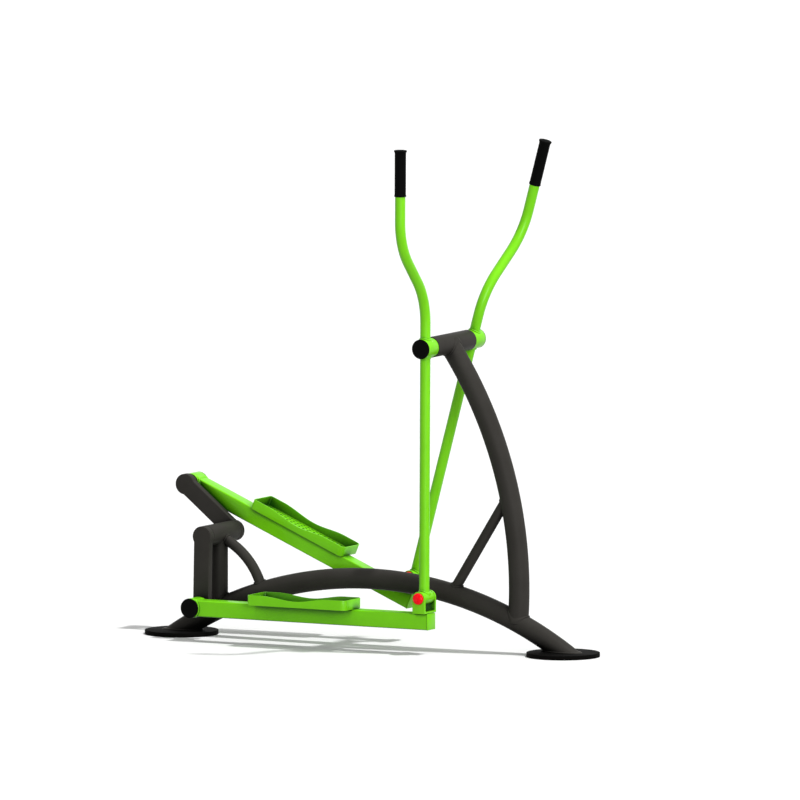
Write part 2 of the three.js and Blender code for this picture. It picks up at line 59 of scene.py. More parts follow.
# Frame
ARCH_RADIUS = 1.5
ARCH_STEPS = 96
COLUMN_RADIUS = 1.5
COLUMN_STEPS = 60
COLUMN_UPRIGHT_Z = 0.235
STRUT_FOOT_X = 0.332
STRUT_HEAD_Z = 0.584
BRACE_RADIUS = 0.272
BRACE_STEPS = 40
BRACE_FOOT_X = -0.458
BRACE_HEAD_DROP = 0.010
PLATE_EDGE = 0.002
HOUSING_BORE = 0.0626
HOUSING_EDGE = 0.0015

# Crank arms
CRANK_BOSS = 0.076
CRANK_BAR_WIDTH = 0.064
CRANK_EDGE = 0.0025
CRANK_END_STEPS = 56

# Levers
HANDLE_TOP = 0.744
BEND_START = 0.092
BEND_RADIUS = 0.230
BEND_TURN = math.radians(43)
BEND_STEPS = 24
SPLAY = 0.196
LEVER_BOSS = 0.049
BOSS_BORE = 0.0266
GRIP_RADIUS = 0.0209
GRIP_BORE = 0.0193
GRIP_LENGTH = 0.171
GRIP_FLANGE = 0.024
GRIP_LIP = 0.02225
# The grip's outline: radius and rise from its foot, then radius and drop from its top
GRIP_FOOT_LINE = (
    (GRIP_BORE, 0), (GRIP_LIP - 0.0008, 0), (GRIP_LIP, 0.0012), (GRIP_LIP, 0.0032),
    (GRIP_RADIUS + 0.0004, 0.0062), (GRIP_RADIUS, 0.0085),
)
GRIP_TOP_LINE = (
    (GRIP_RADIUS, 0.0130), (GRIP_RADIUS + 0.0006, 0.0090), (GRIP_FLANGE - 0.0009, 0.0056),
    (GRIP_FLANGE, 0.0042), (GRIP_FLANGE, 0.0020), (GRIP_FLANGE - 0.0016, 0.0004),
    (GRIP_FLANGE - 0.0040, 0),
)

# Pedal beams
BEAM_SECTION = 0.060
BEAM_WALL = 0.003
BEAM_CORNER = 0.005
BEAM_CORNER_STEPS = 6
BEAM_LENGTH = 0.990
BOLT_AHEAD = 0.960
BOLT_RISE = 0.086
END_PLATE = 0.004
REAR_SLEEVE = 0.072
HUB_SLEEVE = 0.0725
COLLAR = 0.056
SHAFT = 0.030

# Clevis and its red caps
CLEVIS_WIDTH = 0.090
CLEVIS_PLATE = 0.010
CLEVIS_BASE = 0.008
CLEVIS_EAR = 0.051
CLEVIS_EAR_STEPS = 48
CLEVIS_SLOT_CORNER = 0.004
BRACKET_EDGE = 0.0012
BOLT_BORE = 0.0166
RED_CAP = 0.042
RED_CAP_HEIGHT = 0.013
RED_CAP_RIM = 0.003
RED_CAP_WALL = 0.0045
RED_CAP_CROWN = 0.0025
RED_CAP_DIMPLE = 0.006
RED_CAP_DIMPLE_DEPTH = 0.0009
RED_CAP_STEPS = 14
RED_CAP_EDGE = 0.0004

# Footplate trays
TRAY_START = 0.268
TRAY_LENGTH = 0.407
TRAY_WIDTH = 0.1335
TRAY_SHIFT = 0.01825
TRAY_WALL = 0.003
TRAY_FLOOR = 0.003
TRAY_HEIGHT = 0.037
TRAY_DIP = 0.023
TRAY_FRONT_CORNER = 0.020
TRAY_REAR_CORNER = 0.008
TRAY_CORNER_STEPS = 10
TRAY_DIP_SHARE = 0.49
TRAY_REAR_CREST_SHARE = 0.14
TRAY_FRONT_CREST_SHARE = 0.82
TRAY_EDGE = 0.0009
WAVE_STEPS = 40
WAVE_PAST = 4
HOLE = 0.008
HOLE_PITCH = 0.0185
HOLE_ROWS = 6
HOLE_RIM = 0.0022
HOLE_RIM_HEIGHT = 0.0013
HOLE_ROUND = 14

# Camera, floor and light
CAMERA_AZIMUTH = 28.7
CAMERA_ELEVATION = 6.29
CAMERA_WIDTH = 2.925
CAMERA_ACROSS = 0.1009
CAMERA_UP = 0.8962
CAMERA_BACK = 12
FLOOR_SIZE = 80
FLOOR_BOUNCE = 0.25
FLOOR_WHITE = 0.99
SKY_STRENGTH = 0.46
SKY_RIGHT = 0.25
SKY_BEHIND = 0.1
SUN_STRENGTH = 2.0
SUN_WIDTH = 2.2
SUN_FROM = (0.40, 0.10, 1)
FRONT_STRENGTH = 2.05
FRONT_WIDTH = 30
FRONT_FROM = (0.70, -0.70, 0.12)

# Clearances, welds and how finely round things are cut
GAP = 0.0003
BORE_GAP = 0.0006
WELD_LEG = 0.0045
WELD_BITE = 0.0012
WELD_GRAIN = 0.0011
CAP_THICKNESS = 0.004
CAP_EDGE = 0.0005
CAP_CROWN_SHARES = (0.85, 0.7, 0.5, 0.25, 0)
SOFT_EDGE = 0.0007
ROUND = 72
SLIM_ROUND = 48

# Places that come from the frame
joint_at = {joint["name"]: Vector(joint["pos_m"]) for joint in frame["joints"]}
crank = joint_at["crank_turn"]
hub = joint_at["right_lever_swing"]
plane = abs(hub.y)
plate_low, plate_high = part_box("front_base_plate")
plate_radius = (plate_high.x - plate_low.x) / 2
plate_x = (plate_high.x + plate_low.x) / 2
plate_top = plate_high.z
arch_centre_z = plate_top - math.sqrt(ARCH_RADIUS ** 2 - plate_x ** 2)
column_centre_x = hub.x - math.sqrt(COLUMN_RADIUS ** 2 - (hub.z - COLUMN_UPRIGHT_Z) ** 2)
sleeve_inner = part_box("left_hub_sleeve")[0].y
sleeve_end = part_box("left_hub_sleeve")[1].y
sleeve_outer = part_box("left_hub_cap")[1].y
housing_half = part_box("crank_bearing_housing")[1].y
crossbar_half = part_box("crossbar_tube")[1].y
arm_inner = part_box("left_crank_arm")[0].y
arm_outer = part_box("left_crank_arm")[1].y
boss_half = CLEVIS_WIDTH / 2 - CLEVIS_PLATE - BORE_GAP
SIDES = {"right": -1, "left": 1}


def arch_z(x):
    """Height of the arch's middle line above a place along the ground."""
    return arch_centre_z + math.sqrt(ARCH_RADIUS ** 2 - x ** 2)


def column_x(z):
    """How far forward the column's middle line is at a height."""
    return column_centre_x + math.sqrt(COLUMN_RADIUS ** 2 - (z - COLUMN_UPRIGHT_Z) ** 2)


# Modelling by hand

def only(piece):
    """Selects one piece and nothing else."""
    if bpy.context.mode != "OBJECT":
        bpy.ops.object.mode_set(mode="OBJECT")
    bpy.ops.object.select_all(action="DESELECT")
    piece.select_set(True)
    bpy.context.view_layer.objects.active = piece


def settle(piece):
    """Puts a piece's place and turn into its mesh."""
    only(piece)
    bpy.ops.object.transform_apply(location=True, rotation=True, scale=True)
    return piece


def shaped(piece, kind, **settings):
    """Applies one modifier to a piece."""
    only(piece)
    modifier = piece.modifiers.new(kind, kind)
    for name, value in settings.items():
        setattr(modifier, name, value)
    bpy.ops.object.modifier_apply(modifier=modifier.name)
    return piece


def cut(piece, *cutters, how="DIFFERENCE"):
    """Cuts a piece with others, which are used up."""
    for cutter in cutters:
        shaped(piece, "BOOLEAN", object=cutter, operation=how, solver="EXACT")
        bpy.data.objects.remove(cutter)
    return piece


def soften(piece, width=SOFT_EDGE, segments=3, angle=35):
    """Rounds every edge that is sharper than an angle."""
    return shaped(
        piece, "BEVEL", width=width, segments=segments, limit_method="ANGLE",
        angle_limit=math.radians(angle), use_clamp_overlap=True,
    )


def turn_into_place(piece, turn, place):
    """Turns a piece about the Y axis by the right-hand rule, and moves it."""
    piece.matrix_world = Matrix.Translation(place) @ Matrix.Rotation(turn, 4, "Y") @ piece.matrix_world
    return settle(piece)


def ring_at(diameter, place, heading, sides):
    """Starts a tube: a bare ring square to its heading, left selected in edit mode."""
    bpy.ops.mesh.primitive_circle_add(
        vertices=sides, radius=diameter / 2, fill_type="NOTHING", location=place,
        rotation=Vector(heading).to_track_quat("Z", "Y").to_euler(),
    )
    piece = settle(bpy.context.object)
    bpy.ops.object.mode_set(mode="EDIT")
    bpy.ops.mesh.select_all(action="SELECT")
    return piece


def run_straight(way):
    """Draws the selected ring out along a straight."""
    bpy.ops.mesh.extrude_region_move(TRANSFORM_OT_translate={"value": tuple(way)})


def run_bend(centre, angle, steps, axis=(0, 1, 0)):
    """Carries the selected ring round a bend."""
    bpy.ops.mesh.spin(steps=steps, angle=angle, center=tuple(centre), axis=axis)


def close_ends(piece):
    """Leaves edit mode with both ends filled and the faces pointing out."""
    bpy.ops.mesh.select_all(action="SELECT")
    bpy.ops.mesh.fill_holes(sides=0)
    bpy.ops.mesh.normals_make_consistent(inside=False)
    bpy.ops.object.mode_set(mode="OBJECT")
    return piece


def arc_bar(centre_x, centre_z, radius, start, end, diameter, sides, steps):
    """A solid round bar on an arc, its angles measured from +X towards +Z."""
    place = (centre_x + radius * math.cos(start), 0, centre_z + radius * math.sin(start))
    piece = ring_at(diameter, place, (-math.sin(start), 0, math.cos(start)), sides)
    run_bend((centre_x, 0, centre_z), end - start, steps)
    return close_ends(piece)


def straight_bar(start, end, diameter, sides):
    """A solid round bar between two places."""
    way = Vector(end) - Vector(start)
    piece = ring_at(diameter, start, way, sides)
    run_straight(way)
    return close_ends(piece)


def cross_rod(diameter, start, end, x=0, z=0, sides=ROUND):
    """A solid round bar along Y."""
    return straight_bar((x, start, z), (x, end, z), diameter, sides)


def block(low, high):
    """A block given by two opposite corners."""
    low, high = Vector(low), Vector(high)
    bpy.ops.mesh.primitive_cube_add(size=1, location=(low + high) / 2)
    bpy.context.object.scale = high - low
    return settle(bpy.context.object)


def outline(points):
    """A flat line through points, left selected in edit mode; its points are drawn out one by one."""
    bpy.ops.mesh.primitive_plane_add(size=WELD_LEG, location=(0, 0, 0))
    piece = bpy.context.object
    bpy.ops.object.mode_set(mode="EDIT")
    bpy.ops.mesh.select_all(action="SELECT")
    bpy.ops.mesh.merge(type="CENTER")
    bpy.ops.transform.translate(value=tuple(points[0]))
    for here, there in zip(points, points[1:]):
        run_straight(Vector(there) - Vector(here))
    bpy.ops.mesh.select_all(action="SELECT")
    return piece


def plate_of(points, way):
    """A flat plate: a closed outline, filled and drawn out along a way."""
    piece = outline(points)
    bpy.ops.mesh.edge_face_add()
    bpy.ops.mesh.select_all(action="SELECT")
    run_straight(way)
    bpy.ops.mesh.select_all(action="SELECT")
    bpy.ops.mesh.normals_make_consistent(inside=False)
    bpy.ops.object.mode_set(mode="OBJECT")
    return piece


def arc_points(centre_x, centre_z, radius, start, end, steps):
    """Points on an arc in the upright lengthwise plane."""
    angles = [start + (end - start) * i / steps for i in range(steps + 1)]
    return [(centre_x + radius * math.cos(a), 0, centre_z + radius * math.sin(a)) for a in angles]


def turned(profile, x=0, z=0, sides=ROUND):
    """A part turned on a lathe about a line along Y. The profile lists radius and place along Y."""
    piece = outline([(x + radius, along, z) for radius, along in profile])
    bpy.ops.mesh.spin(steps=sides, angle=2 * math.pi, center=(x, 0, z), axis=(0, 1, 0))
    bpy.ops.mesh.select_all(action="SELECT")
    bpy.ops.mesh.remove_doubles(threshold=0.00001)
    bpy.ops.mesh.normals_make_consistent(inside=False)
    bpy.ops.object.mode_set(mode="OBJECT")
    return piece


def sleeve(outer, inner, start, end, x=0, z=0, sides=ROUND):
    """A plain turned sleeve along Y."""
    rows = [(inner / 2, start), (outer / 2, start), (outer / 2, end), (inner / 2, end)]
    return turned(rows + rows[:1], x, z, sides)


# Finishes

def linear(red, green, blue):
    """A colour given as it looks on a screen, 0 to 255."""
    def channel(value):
        value /= 255
        return value / 12.92 if value <= 0.04045 else ((value + 0.055) / 1.055) ** 2.4
    return (channel(red), channel(green), channel(blue), 1)


def finish_of(name, dark, light, patch, rough, **sockets):
    """A new finish: two near shades in soft patches, and a roughness that varies a little."""
    material = bpy.data.materials.new(name)
    material.use_nodes = True
    nodes, links = material.node_tree.nodes, material.node_tree.links
    shader = nodes["Principled BSDF"]
    for socket, value in sockets.items():
        shader.inputs[socket.replace("_", " ")].default_value = value
    places = nodes.new("ShaderNodeTexCoord")
    patches = nodes.new("ShaderNodeTexNoise")
    patches.inputs["Scale"].default_value = patch
    patches.inputs["Detail"].default_value = 6
    patches.inputs["Roughness"].default_value = 0.6
    links.new(places.outputs["Object"], patches.inputs["Vector"])
    shades = nodes.new("ShaderNodeValToRGB")
    shades.color_ramp.elements[0].position = 0.35
    shades.color_ramp.elements[1].position = 0.65
    shades.color_ramp.elements[0].color = linear(*dark)
    shades.color_ramp.elements[1].color = linear(*light)
    links.new(patches.outputs["Fac"], shades.inputs["Fac"])
    links.new(shades.outputs["Color"], shader.inputs["Base Color"])
    sheen = nodes.new("ShaderNodeMapRange")
    sheen.inputs["From Min"].default_value = 0.3
    sheen.inputs["From Max"].default_value = 0.7
    sheen.inputs["To Min"].default_value = rough[0]
    sheen.inputs["To Max"].default_value = rough[1]
    links.new(patches.outputs["Fac"], sheen.inputs["Value"])
    links.new(sheen.outputs["Result"], shader.inputs["Roughness"])
    return material


def add_painted_shade(material, shade_colour, reach):
    """Painted shade: darkens a finish towards a shade colour in corners and hollows, by how closed in each
    point is.
    """
    nodes, links = material.node_tree.nodes, material.node_tree.links
    shader = nodes["Principled BSDF"]
    open_shade = shader.inputs["Base Color"].links[0].from_socket
    enclosure = nodes.new("ShaderNodeAmbientOcclusion")
    enclosure.samples = 8
    enclosure.inputs["Distance"].default_value = reach
    shaded_colour = nodes.new("ShaderNodeMix")
    shaded_colour.data_type = "RGBA"
    shaded_colour.inputs["A"].default_value = linear(*shade_colour)
    shade_depth = nodes.new("ShaderNodeMapRange")
    shade_depth.inputs["From Min"].default_value = 0.45
    shade_depth.inputs["From Max"].default_value = 0.85
    links.new(enclosure.outputs["AO"], shade_depth.inputs["Value"])
    links.new(shade_depth.outputs["Result"], shaded_colour.inputs["Factor"])
    links.new(open_shade, shaded_colour.inputs["B"])
    links.new(shaded_colour.outputs["Result"], shader.inputs["Base Color"])
    return material


def add_grain(material, kind, scale, height, strength, stretch=(1, 1, 1)):
    """Fine relief on a finish: orange peel, moulded grain or turning marks."""
    nodes, links = material.node_tree.nodes, material.node_tree.links
    places = nodes.new("ShaderNodeTexCoord")
    stretched = nodes.new("ShaderNodeMapping")
    stretched.inputs["Scale"].default_value = stretch
    links.new(places.outputs["Object"], stretched.inputs["Vector"])
    grain = nodes.new(kind)
    grain.inputs["Scale"].default_value = scale
    links.new(stretched.outputs["Vector"], grain.inputs["Vector"])
    relief = nodes.new("ShaderNodeBump")
    relief.inputs["Distance"].default_value = height
    relief.inputs["Strength"].default_value = strength
    links.new(grain.outputs[0], relief.inputs["Height"])
    links.new(relief.outputs["Normal"], nodes["Principled BSDF"].inputs["Normal"])
    return material


def green_powder_coat():
    coat = finish_of("green_powder_coat", (121, 216, 15), (127, 223, 21), patch=9,
                     rough=(0.30, 0.40), Specular_IOR_Level=0.16, Coat_Weight=0.12, Coat_Roughness=0.15)
    # Painted shade: the green darkens to a deep green in corners and hollows.
    add_painted_shade(coat, (12, 62, 1), 0.14)
    return add_grain(coat, "ShaderNodeTexNoise", 420, 0.0003, 0.1)


def charcoal_powder_coat():
    coat = finish_of("charcoal_powder_coat", (53, 51, 48), (58, 56, 53), patch=7, rough=(0.40, 0.52),
                     Specular_IOR_Level=0.03)
    # Painted shade: the charcoal darkens to near black in corners and hollows.
    add_painted_shade(coat, (9, 9, 8), 0.15)
    return add_grain(coat, "ShaderNodeTexNoise", 380, 0.0005, 0.18)


def ground_black_coat():
    """The base plates carry a heavier, blacker coat against ground water."""
    coat = finish_of("ground_black_coat", (8, 8, 7), (12, 11, 10), patch=12, rough=(0.60, 0.75),
                     Specular_IOR_Level=0.02)
    return add_grain(coat, "ShaderNodeTexNoise", 260, 0.0006, 0.22)


def red_moulding():
    # Painted light: a faint red glow (emission) lifts the caps' red above what the lamps give it.
    plastic = finish_of("red_moulding", (252, 4, 16), (255, 8, 22), patch=40, rough=(0.20, 0.28),
                        Specular_IOR_Level=0.15, Emission_Color=(1, 0.01, 0.03, 1),
                        Emission_Strength=0.1)
    return add_grain(plastic, "ShaderNodeTexNoise", 900, 0.0001, 0.1)


def black_moulding():
    plastic = finish_of("black_moulding", (4, 4, 4), (8, 8, 8), patch=30, rough=(0.45, 0.58),
                        Specular_IOR_Level=0.03)
    return add_grain(plastic, "ShaderNodeTexVoronoi", 1400, 0.0002, 0.15)


def grip_rubber():
    rubber = finish_of("grip_rubber", (4, 4, 4), (8, 8, 8), patch=60, rough=(0.62, 0.78),
                       Specular_IOR_Level=0.03)
    return add_grain(rubber, "ShaderNodeTexVoronoi", 900, 0.0003, 0.2)


def bright_steel():
    steel = finish_of("bright_steel", (168, 172, 176), (186, 189, 193), patch=60, rough=(0.22, 0.34),
                      Metallic=1.0)
    return add_grain(steel, "ShaderNodeTexNoise", 300, 0.00005, 0.3, stretch=(1, 12, 1))


def bearing_bronze():
    bronze = finish_of("bearing_bronze", (158, 108, 50), (184, 132, 66), patch=80, rough=(0.35, 0.5),
                       Metallic=1.0)
    return add_grain(bronze, "ShaderNodeTexNoise", 700, 0.0001, 0.3)


finishes = {
    "green_paint": green_powder_coat(),
    "charcoal_paint": charcoal_powder_coat(),
    "ground_black": ground_black_coat(),
    "red_plastic": red_moulding(),
    "black_plastic": black_moulding(),
    "black_rubber": grip_rubber(),
    "bright_steel": bright_steel(),
    "bronze": bearing_bronze(),
}


def finished(piece, name, body, slot, *nodes, smooth=30, finish=None):
    """Names a piece, paints it, and hands it to its body in place of the plain solids it stands for."""
    only(piece)
    bpy.ops.object.shade_smooth_by_angle(angle=math.radians(smooth))
    piece.name = name
    piece.data.name = name
    piece.data.materials.clear()
    piece.data.materials.append(finish or finishes[slot])
    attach(piece, body)
    if nodes:
        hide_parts(*nodes)
    return piece


def weld(first, second):
    """A fillet weld where two solids meet. Each is a function that makes it, grown by a margin."""
    bead = cut(first(WELD_LEG), second(WELD_LEG), how="INTERSECT")
    cut(bead, first(-WELD_BITE), second(-WELD_BITE))
    shaped(bead, "REMESH", mode="VOXEL", voxel_size=WELD_GRAIN)
    shaped(bead, "SMOOTH", factor=0.5, iterations=7)
    return bead


def joined(pieces):
    """Makes several loose pieces one."""
    only(pieces[0])
    for piece in pieces:
        piece.select_set(True)
    bpy.ops.object.join()
    return bpy.context.object


# The fixed frame, as solid bars that can be grown by a margin

def arch_bar(margin=0):
    to_plate = math.acos((plate_top - arch_centre_z) / (ARCH_RADIUS + FRAME_TUBE / 2))
    half = to_plate + SLIM_TUBE / ARCH_RADIUS
    return arc_bar(0, arch_centre_z, ARCH_RADIUS, math.pi / 2 + half, math.pi / 2 - half,
                   FRAME_TUBE + 2 * margin, ROUND, ARCH_STEPS)


def column_bar(margin=0):
    """The column from the arch's middle line to the middle of the crossbar."""
    foot_z = arch_z(column_x(COLUMN_UPRIGHT_Z))
    start = math.asin((foot_z - COLUMN_UPRIGHT_Z) / COLUMN_RADIUS)
    end = math.asin((hub.z - COLUMN_UPRIGHT_Z) / COLUMN_RADIUS)
    return arc_bar(column_centre_x, COLUMN_UPRIGHT_Z, COLUMN_RADIUS, start, end,
                   FRAME_TUBE + 2 * margin, ROUND, COLUMN_STEPS)


def column_foot(margin=0):
    """The column a hair slimmer than the arch, so that the line where they meet is clear for a weld."""
    return column_bar(margin - GAP)


def crossbar_bar(margin=0):
    return cross_rod(FRAME_TUBE + 2 * margin, -crossbar_half, crossbar_half, hub.x, hub.z)


def housing_bar(margin=0):
    return cross_rod(FRAME_TUBE + 2 * margin, -housing_half, housing_half, crank.x, crank.z)


def post_bar(margin=0):
    return straight_bar((crank.x, 0, arch_z(crank.x)), (crank.x, 0, crank.z),
                        POST_TUBE + 2 * margin, ROUND)


def strut_bar(margin=0):
    foot = (STRUT_FOOT_X, 0, arch_z(STRUT_FOOT_X))
    head = (column_x(STRUT_HEAD_Z), 0, STRUT_HEAD_Z)
    return straight_bar(foot, head, SLIM_TUBE + 2 * margin, SLIM_ROUND)


def brace_bar(margin=0):
    head = Vector((crank.x, 0, crank.z - BRACE_HEAD_DROP))
    foot = Vector((BRACE_FOOT_X, 0, arch_z(BRACE_FOOT_X)))
    chord = foot - head
    reach = math.sqrt(BRACE_RADIUS ** 2 - chord.length_squared / 4)
    centre = (head + foot) / 2 + Vector((chord.z, 0, -chord.x)).normalized() * reach
    start = math.atan2(head.z - centre.z, head.x - centre.x)
    end = math.atan2(foot.z - centre.z, foot.x - centre.x)
    return arc_bar(centre.x, centre.z, BRACE_RADIUS, start, end,
                   SLIM_TUBE + 2 * margin, SLIM_ROUND, BRACE_STEPS)


def plate_bar(x):
    """The base plate under one end of the arch, as a function of a margin on its top."""
    def grown(margin=0):
        return straight_bar((x, 0, 0), (x, 0, plate_top + margin), 2 * plate_radius, ROUND)

    return grown


def hollow(maker, wall, *cutters):
    """A tube: a bar, bored to its wall and shaped to what it meets."""
    return cut(maker(), maker(-wall), *[cutter(GAP) for cutter in cutters])


def build_frame():
    charcoal = "charcoal_paint"
    arch = hollow(arch_bar, FRAME_WALL)
    reach = plate_x + plate_radius
    cut(arch, block((-reach, -FRAME_TUBE, -FRAME_TUBE), (reach, FRAME_TUBE, plate_top + GAP)))
    finished(arch, "main_arch", "frame", charcoal, "main_arch_tube")
    column = hollow(column_bar, FRAME_WALL, arch_bar, crossbar_bar)
    finished(column, "front_column", "frame", charcoal, "front_column_tube")
    strut = hollow(strut_bar, SLIM_WALL, arch_bar, column_bar)
    finished(strut, "strut_tube", "frame", charcoal, "column_strut")
    post = hollow(post_bar, FRAME_WALL, arch_bar, housing_bar)
    finished(post, "crank_post_tube", "frame", charcoal, "crank_post")
    brace = hollow(brace_bar, SLIM_WALL, arch_bar, housing_bar, post_bar)
    finished(brace, "brace_tube", "frame", charcoal, "curved_brace")
    crossbar = sleeve(FRAME_TUBE, FRAME_TUBE - 2 * FRAME_WALL, -crossbar_half, crossbar_half,
                      hub.x, hub.z)
    finished(soften(crossbar), "crossbar", "frame", charcoal, "crossbar_tube")
    housing = sleeve(FRAME_TUBE, HOUSING_BORE, -housing_half, housing_half, crank.x, crank.z)
    finished(soften(housing, HOUSING_EDGE), "crank_housing", "frame", charcoal, "crank_bearing_housing")
    for name, x in (("rear", -plate_x), ("front", plate_x)):
        plate = soften(plate_bar(x)(), PLATE_EDGE, 4)
        finished(plate, f"{name}_plate", "frame", charcoal, f"{name}_base_plate",
                 finish=finishes["ground_black"])
    meetings = [
        (arch_bar, column_foot), (arch_bar, strut_bar), (column_bar, strut_bar),
        (column_bar, crossbar_bar), (arch_bar, post_bar), (post_bar, housing_bar),
        (brace_bar, arch_bar), (brace_bar, housing_bar),
        (plate_bar(-plate_x), arch_bar), (plate_bar(plate_x), arch_bar),
    ]
    beads = joined([weld(first, second) for first, second in meetings])
    finished(beads, "frame_welds", "frame", charcoal, smooth=60)


# The crankset

def crank_arm(side):
    """A flat bar between two round bosses, drawn along +X from the crank axis."""
    reach = math.hypot(pins[side].x - crank.x, pins[side].z - crank.z)
    radius = CRANK_BOSS / 2
    bend = math.asin(CRANK_BAR_WIDTH / CRANK_BOSS)
    points = arc_points(0, 0, radius, bend, 2 * math.pi - bend, CRANK_END_STEPS)
    points += arc_points(reach, 0, radius, bend - math.pi, math.pi - bend, CRANK_END_STEPS)
    points = [(x, SIDES[side] * arm_inner, z) for x, _, z in points]
    return plate_of(points, (0, SIDES[side] * (arm_outer - arm_inner), 0))


def pin_of(side):
    """Where a side's crank pin stands."""
    low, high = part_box(f"{side}_crank_pin")
    return (low + high) / 2


pins = {side: pin_of(side) for side in SIDES}


def build_crankset():
    for side in SIDES:
        arm = soften(crank_arm(side), CRANK_EDGE, 4)
        turn = math.atan2(pins[side].z - crank.z, pins[side].x - crank.x)
        turn_into_place(arm, -turn, crank)
        finished(arm, f"{side}_crank", "crankset", "charcoal_paint", f"{side}_crank_arm")


# Caps, pins and bushes that are turned about a line along Y

def end_cap(side, diameter, x, z):
    """A pressed-in cap with a slightly crowned face."""
    radius, crown = diameter / 2, CAP_THICKNESS / 4
    plug = HOUSING_BORE / 2 - GAP
    back, face = sleeve_end - CAP_THICKNESS, sleeve_outer - crown
    rows = [(0, back), (plug, back), (plug, sleeve_end + GAP),
            (radius, sleeve_end + GAP), (radius, face - crown), (radius - crown, face)]
    rows += [(radius * share, face + crown * (1 - share ** 2)) for share in CAP_CROWN_SHARES]
    return soften(turned([(r, side * along) for r, along in rows], x, z), CAP_EDGE)


def red_cap(face, way, x, z):
    """A domed bolt cap, hollow underneath, with a short straight rim and a dimple in its crown."""
    radius = RED_CAP / 2
    rise = RED_CAP_HEIGHT - RED_CAP_RIM
    bore, roof = radius - RED_CAP_WALL, RED_CAP_HEIGHT - RED_CAP_CROWN
    rows = [(0, roof), (bore, roof), (bore, 0), (radius, 0)]
    for step in range(RED_CAP_STEPS):
        angle = math.pi / 2 * step / RED_CAP_STEPS
        if radius * math.cos(angle) > RED_CAP_DIMPLE:
            rows.append((radius * math.cos(angle), RED_CAP_RIM + rise * math.sin(angle)))
    shoulder = RED_CAP_RIM + rise * math.sqrt(1 - (RED_CAP_DIMPLE / radius) ** 2)
    rows += [(RED_CAP_DIMPLE, shoulder), (RED_CAP_DIMPLE * 0.75, shoulder - RED_CAP_DIMPLE_DEPTH),
             (0, shoulder - RED_CAP_DIMPLE_DEPTH)]
    piece = soften(turned(rows), RED_CAP_EDGE)
    turn = 0 if way > 0 else math.pi
    piece.matrix_world = Matrix.Translation((x, face, z)) @ Matrix.Rotation(turn, 4, "Z")
    return settle(piece)


# One swinging lever, drawn upright about its hub

def lever_shapes(side):
    """The lever's bars, each a function of its margin."""
    sign = SIDES[side]
    middle = sign * plane
    length = (joint_at[f"{side}_beam_tilt"] - joint_at[f"{side}_lever_swing"]).length

    def hub_bar(margin=0):
        return cross_rod(HUB_SLEEVE + 2 * margin, sign * sleeve_inner, sign * sleeve_end)

    def boss_bar(margin=0):
        return cross_rod(LEVER_BOSS + 2 * margin, middle - boss_half, middle + boss_half, 0, -length)

    def lower_bar(margin=0):
        return straight_bar((0, middle, -length), (0, middle, 0), SLIM_TUBE + 2 * margin, SLIM_ROUND)

    def handle_bar(margin=0):
        """Rises from the hub, bends outwards and straightens again. As a bore it runs past the top."""
        piece = ring_at(SLIM_TUBE + 2 * margin, (0, middle, 0), (0, 0, 1), SLIM_ROUND)
        run_straight((0, 0, BEND_START))
        run_bend((0, sign * (plane + BEND_RADIUS), BEND_START), BEND_TURN, BEND_STEPS, (sign, 0, 0))
        slant = (SPLAY - 2 * BEND_RADIUS * (1 - math.cos(BEND_TURN))) / math.sin(BEND_TURN)
        run_straight((0, sign * slant * math.sin(BEND_TURN), slant * math.cos(BEND_TURN)))
        bend_end = BEND_START + 2 * BEND_RADIUS * math.sin(BEND_TURN) + slant * math.cos(BEND_TURN)
        run_bend((0, sign * (plane + SPLAY - BEND_RADIUS), bend_end), BEND_TURN, BEND_STEPS, (-sign, 0, 0))
        run_straight((0, 0, HANDLE_TOP - bend_end + max(-margin, 0)))
        return close_ends(piece)

    return hub_bar, boss_bar, lower_bar, handle_bar


def grip(side):
    """A rubber grip, closed at the top, with a rolled flange there and a lip at its foot."""
    top = HANDLE_TOP + GAP + CAP_THICKNESS
    foot = top - GRIP_LENGTH
    rows = [(radius, foot + rise) for radius, rise in GRIP_FOOT_LINE]
    rows += [(radius, top - drop) for radius, drop in GRIP_TOP_LINE]
    rows += [(0, top), (0, top - CAP_THICKNESS), (GRIP_BORE, top - CAP_THICKNESS), (GRIP_BORE, foot)]
    piece = turned(rows, sides=SLIM_ROUND)
    place = Matrix.Translation((0, SIDES[side] * (plane + SPLAY), 0))
    piece.matrix_world = place @ Matrix.Rotation(math.pi / 2, 4, "X")
    return settle(piece)


def build_lever(side):
    sign, body, green = SIDES[side], f"{side}_lever", "green_paint"
    bolt = joint_at[f"{side}_beam_tilt"]
    turn = math.atan2(hub.x - bolt.x, hub.z - bolt.z)
    place = Vector((hub.x, 0, hub.z))
    length = math.hypot(hub.x - bolt.x, hub.z - bolt.z)
    hub_bar, boss_bar, lower_bar, handle_bar = lever_shapes(side)

    def done(piece, name, slot, *nodes, smooth=30):
        return finished(turn_into_place(piece, turn, place), name, body, slot, *nodes, smooth=smooth)

    done(soften(sleeve(HUB_SLEEVE, HOUSING_BORE, sign * sleeve_inner, sign * sleeve_end)),
         f"{side}_hub", green, f"{side}_hub_sleeve")
    done(hollow(lower_bar, SLIM_WALL, hub_bar, boss_bar),
         f"{side}_lower_tube", green, f"{side}_lower_lever_tube")
    done(hollow(handle_bar, SLIM_WALL, hub_bar), f"{side}_handle", green, f"{side}_handle_tube")
    middle = sign * plane
    done(soften(sleeve(LEVER_BOSS, BOSS_BORE, middle - boss_half, middle + boss_half, 0, -length)),
         f"{side}_boss", green, f"{side}_lever_boss")
    done(grip(side), f"{side}_grip", "black_rubber", f"{side}_hand_grip")
    done(end_cap(sign, HUB_SLEEVE, 0, 0), f"{side}_hub_end_cap", "black_plastic", f"{side}_hub_cap")
    beads = joined([weld(hub_bar, lower_bar), weld(hub_bar, handle_bar), weld(boss_bar, lower_bar)])
    done(beads, f"{side}_lever_welds", green, smooth=60)


